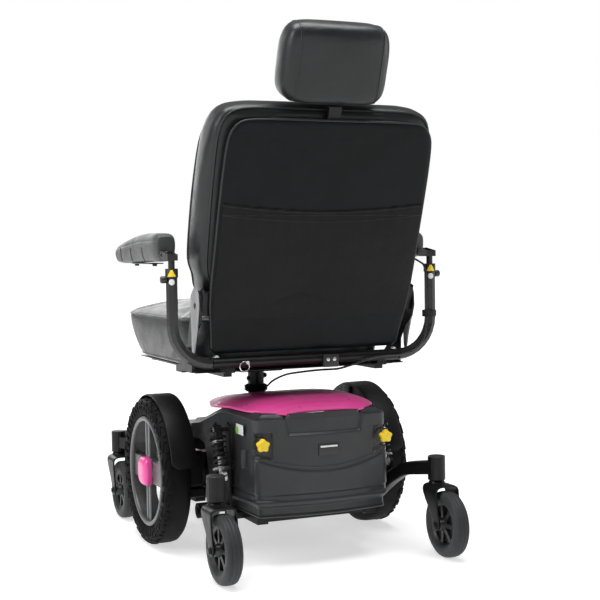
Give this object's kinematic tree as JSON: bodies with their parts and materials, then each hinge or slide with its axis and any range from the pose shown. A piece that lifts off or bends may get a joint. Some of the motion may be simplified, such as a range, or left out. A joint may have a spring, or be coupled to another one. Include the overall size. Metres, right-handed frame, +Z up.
{
  "type": "power wheelchair",
  "caption": "Mid-wheel-drive power wheelchair with a battery base, sprung rear casters, a reclining captain's seat, flip-up armrests, headrest and joystick.",
  "frame": {"origin": "on the floor, below the middle of the chair's length and width", "axes": "-Y is forwards, +X is the chair's left side, +Z is up"},
  "size_m": [0.694, 1.141, 1.2081],
  "materials": {
    "black_paint": "satin",
    "battery_case": "matte",
    "cast_aluminium": "satin",
    "shell_plastic": "satin",
    "pink_gloss": "gloss",
    "yellow_plastic": "satin",
    "tyre_rubber": "matte",
    "caster_rubber": "matte",
    "rim_grey": "satin",
    "bright_steel": "satin",
    "black_plastic": "satin",
    "back_shell": "satin",
    "black_vinyl": "satin",
    "pocket_fabric": "matte",
    "pad_urethane": "satin",
    "soft_rubber": "matte",
    "button_grey": "satin",
    "cable_jacket": "satin"
  },
  "bodies": {
    "base": {"base_frame": "black_paint", "battery_left": "battery_case", "battery_right": "battery_case", "power_module": "cast_aluminium", "rear_shroud": "shell_plastic", "top_cover": "pink_gloss", "front_shroud": "shell_plastic"},
    "release_knob_left": {"release_knob_left": "yellow_plastic"},
    "release_knob_right": {"release_knob_right": "yellow_plastic"},
    "footrest": {"footplate": "black_paint"},
    "drive_unit_left": {"drive_motor_left": "black_paint", "front_arm_left": "black_paint", "fender_left": "shell_plastic"},
    "drive_wheel_left": {"drive_tyre_left": "tyre_rubber", "drive_rim_left": "rim_grey", "hub_cap_left": "pink_gloss"},
    "front_fork_left": {"front_caster_left_fork": "black_paint"},
    "front_wheel_left": {"front_caster_left_wheel": "caster_rubber"},
    "rear_arm_left": {"rear_arm_left": "black_paint"},
    "rear_fork_left": {"rear_caster_left_fork": "black_paint"},
    "rear_wheel_left": {"rear_caster_left_wheel": "caster_rubber"},
    "shock_body_left": {"shock_body_left": "black_paint", "shock_spring_left": "black_paint"},
    "shock_rod_left": {"shock_rod_left": "bright_steel"},
    "drive_unit_right": {"drive_motor_right": "black_paint", "front_arm_right": "black_paint", "fender_right": "shell_plastic"},
    "drive_wheel_right": {"drive_tyre_right": "tyre_rubber", "drive_rim_right": "rim_grey", "hub_cap_right": "pink_gloss"},
    "front_fork_right": {"front_caster_right_fork": "black_paint"},
    "front_wheel_right": {"front_caster_right_wheel": "caster_rubber"},
    "rear_arm_right": {"rear_arm_right": "black_paint"},
    "rear_fork_right": {"rear_caster_right_fork": "black_paint"},
    "rear_wheel_right": {"rear_caster_right_wheel": "caster_rubber"},
    "shock_body_right": {"shock_body_right": "black_paint", "shock_spring_right": "black_paint"},
    "shock_rod_right": {"shock_rod_right": "bright_steel"},
    "seat": {"seat_frame": "black_paint", "seat_cushion": "black_vinyl", "base_cable": "cable_jacket"},
    "lock_pin": {"seat_lock_pin": "bright_steel"},
    "recline_lever": {"recline_lever": "black_plastic"},
    "backrest": {"back_frame": "black_paint", "back_cushion": "black_vinyl", "back_panel": "back_shell", "back_pocket": "pocket_fabric"},
    "headrest": {"headrest": "black_vinyl", "headrest_post": "bright_steel"},
    "arm_tube_left": {"arm_tube_left": "black_paint"},
    "arm_stem_left": {"arm_stem_left": "bright_steel"},
    "arm_pad_left": {"arm_pad_left": "pad_urethane"},
    "arm_tube_right": {"arm_tube_right": "black_paint", "arm_cable": "cable_jacket"},
    "arm_stem_right": {"arm_stem_right": "bright_steel"},
    "arm_pad_right": {"arm_pad_right": "pad_urethane", "controller_box": "black_plastic"},
    "joystick_boot": {"joystick_boot": "soft_rubber"},
    "joystick": {"joystick": "black_plastic"},
    "power_button": {"power_button": "button_grey"}
  },
  "joints": [
    {"name": "release_knob_left_turn", "type": "hinge", "parent": "base", "child": "release_knob_left", "pos_m": [0.152, 0.415, 0.279], "axis": [0, 1, 0], "range_deg": [0, 90]},
    {"name": "release_knob_right_turn", "type": "hinge", "parent": "base", "child": "release_knob_right", "pos_m": [-0.152, 0.415, 0.279], "axis": [0, 1, 0], "range_deg": [0, 90]},
    {"name": "footplate_flip", "type": "hinge", "parent": "base", "child": "footrest", "pos_m": [0, -0.3605, 0.1], "axis": [-1, 0, 0], "range_deg": [0, 85]},
    {"name": "drive_unit_left_rock", "type": "hinge", "parent": "base", "child": "drive_unit_left", "pos_m": [0.18, -0.0405, 0.105], "axis": [1, 0, 0], "range_deg": [-4, 4]},
    {"name": "drive_wheel_left_spin", "type": "hinge", "parent": "drive_unit_left", "child": "drive_wheel_left", "pos_m": [0.2825, 0.0495, 0.178], "axis": [1, 0, 0], "continuous": true},
    {"name": "front_fork_left_swivel", "type": "hinge", "parent": "drive_unit_left", "child": "front_fork_left", "pos_m": [0.276, -0.3185, 0.172], "axis": [0, 0, 1], "continuous": true},
    {"name": "front_wheel_left_spin", "type": "hinge", "parent": "front_fork_left", "child": "front_wheel_left", "pos_m": [0.276, -0.2715, 0.076], "axis": [1, 0, 0], "continuous": true},
    {"name": "rear_arm_left_swing", "type": "hinge", "parent": "base", "child": "rear_arm_left", "pos_m": [0.208, 0.1745, 0.095], "axis": [1, 0, 0], "range_deg": [-3, 6], "stiffness_Nm_per_rad": 1150, "springref_deg": -1.84},
    {"name": "rear_fork_left_swivel", "type": "hinge", "parent": "rear_arm_left", "child": "rear_fork_left", "pos_m": [0.272, 0.4475, 0.172], "axis": [0, 0, 1], "continuous": true},
    {"name": "rear_wheel_left_spin", "type": "hinge", "parent": "rear_fork_left", "child": "rear_wheel_left", "pos_m": [0.272, 0.4945, 0.076], "axis": [1, 0, 0], "continuous": true},
    {"name": "shock_left_lean", "type": "hinge", "parent": "base", "child": "shock_body_left", "pos_m": [0.208, 0.2795, 0.3], "axis": [1, 0, 0], "range_deg": [-3.6, 1.9]},
    {"name": "shock_left_stroke", "type": "slide", "parent": "shock_body_left", "child": "shock_rod_left", "axis": [0, 0.2993, -0.9541], "range_m": [-0.0175, 0.009], "deforming": ["shock_spring_left"]},
    {"name": "drive_unit_right_rock", "type": "hinge", "parent": "base", "child": "drive_unit_right", "pos_m": [-0.18, -0.0405, 0.105], "axis": [1, 0, 0], "range_deg": [-4, 4]},
    {"name": "drive_wheel_right_spin", "type": "hinge", "parent": "drive_unit_right", "child": "drive_wheel_right", "pos_m": [-0.2825, 0.0495, 0.178], "axis": [1, 0, 0], "continuous": true},
    {"name": "front_fork_right_swivel", "type": "hinge", "parent": "drive_unit_right", "child": "front_fork_right", "pos_m": [-0.276, -0.3185, 0.172], "axis": [0, 0, 1], "continuous": true},
    {"name": "front_wheel_right_spin", "type": "hinge", "parent": "front_fork_right", "child": "front_wheel_right", "pos_m": [-0.276, -0.2715, 0.076], "axis": [1, 0, 0], "continuous": true},
    {"name": "rear_arm_right_swing", "type": "hinge", "parent": "base", "child": "rear_arm_right", "pos_m": [-0.208, 0.1745, 0.095], "axis": [1, 0, 0], "range_deg": [-3, 6], "stiffness_Nm_per_rad": 1150, "springref_deg": -1.84},
    {"name": "rear_fork_right_swivel", "type": "hinge", "parent": "rear_arm_right", "child": "rear_fork_right", "pos_m": [-0.272, 0.4475, 0.172], "axis": [0, 0, 1], "continuous": true},
    {"name": "rear_wheel_right_spin", "type": "hinge", "parent": "rear_fork_right", "child": "rear_wheel_right", "pos_m": [-0.272, 0.4945, 0.076], "axis": [1, 0, 0], "continuous": true},
    {"name": "shock_right_lean", "type": "hinge", "parent": "base", "child": "shock_body_right", "pos_m": [-0.208, 0.2795, 0.3], "axis": [1, 0, 0], "range_deg": [-3.6, 1.9]},
    {"name": "shock_right_stroke", "type": "slide", "parent": "shock_body_right", "child": "shock_rod_right", "axis": [0, 0.2993, -0.9541], "range_m": [-0.0175, 0.009], "deforming": ["shock_spring_right"]},
    {"name": "seat_height", "type": "slide", "parent": "base", "child": "seat", "axis": [0, 0, 1], "range_m": [0, 0.05]},
    {"name": "lock_pin_pull", "type": "slide", "parent": "seat", "child": "lock_pin", "axis": [0, 1, 0], "range_m": [0, 0.018], "stiffness_N_per_m": 400, "springref_m": -0.002},
    {"name": "recline_lever_lift", "type": "hinge", "parent": "seat", "child": "recline_lever", "pos_m": [0.272, 0.2615, 0.48], "axis": [-1, 0, 0], "range_deg": [0, 20], "stiffness_Nm_per_rad": 0.6, "springref_deg": -8.59},
    {"name": "backrest_recline", "type": "hinge", "parent": "seat", "child": "backrest", "pos_m": [0, 0.3245, 0.588], "axis": [1, 0, 0], "range_deg": [-10, 15]},
    {"name": "headrest_height", "type": "slide", "parent": "backrest", "child": "headrest", "axis": [0, 0.3364, 0.9417], "range_m": [0, 0.06]},
    {"name": "armrest_left_width", "type": "slide", "parent": "seat", "child": "arm_tube_left", "axis": [1, 0, 0], "range_m": [0, 0.03]},
    {"name": "armrest_left_height", "type": "slide", "parent": "arm_tube_left", "child": "arm_stem_left", "axis": [0, 0, 1], "range_m": [0, 0.05]},
    {"name": "arm_pad_left_flip", "type": "hinge", "parent": "arm_stem_left", "child": "arm_pad_left", "pos_m": [0.325, 0.2895, 0.703], "axis": [-1, 0, 0], "range_deg": [0, 90]},
    {"name": "armrest_right_width", "type": "slide", "parent": "seat", "child": "arm_tube_right", "axis": [-1, 0, 0], "range_m": [0, 0.03]},
    {"name": "armrest_right_height", "type": "slide", "parent": "arm_tube_right", "child": "arm_stem_right", "axis": [0, 0, 1], "range_m": [0, 0.05]},
    {"name": "arm_pad_right_flip", "type": "hinge", "parent": "arm_stem_right", "child": "arm_pad_right", "pos_m": [-0.325, 0.2895, 0.703], "axis": [-1, 0, 0], "range_deg": [0, 90]},
    {"name": "joystick_fore_aft", "type": "hinge", "parent": "arm_pad_right", "child": "joystick_boot", "pos_m": [-0.314, -0.1405, 0.744], "axis": [1, 0, 0], "range_deg": [-18, 18], "stiffness_Nm_per_rad": 0.1},
    {"name": "joystick_side", "type": "hinge", "parent": "joystick_boot", "child": "joystick", "pos_m": [-0.314, -0.1405, 0.744], "axis": [0, 1, 0], "range_deg": [-18, 18], "stiffness_Nm_per_rad": 0.1},
    {"name": "power_button_press", "type": "slide", "parent": "arm_pad_right", "child": "power_button", "axis": [0, 0, -1], "range_m": [0, 0.0015], "stiffness_N_per_m": 300, "springref_m": -0.001}
  ],
  "couplings": [
    {"joint": "shock_left_lean", "follows": "rear_arm_left_swing", "ratio": -0.57},
    {"joint": "shock_left_stroke", "follows": "rear_arm_left_swing", "m_per_rad": -0.1616},
    {"joint": "shock_right_lean", "follows": "rear_arm_right_swing", "ratio": -0.57},
    {"joint": "shock_right_stroke", "follows": "rear_arm_right_swing", "m_per_rad": -0.1616}
  ]
}
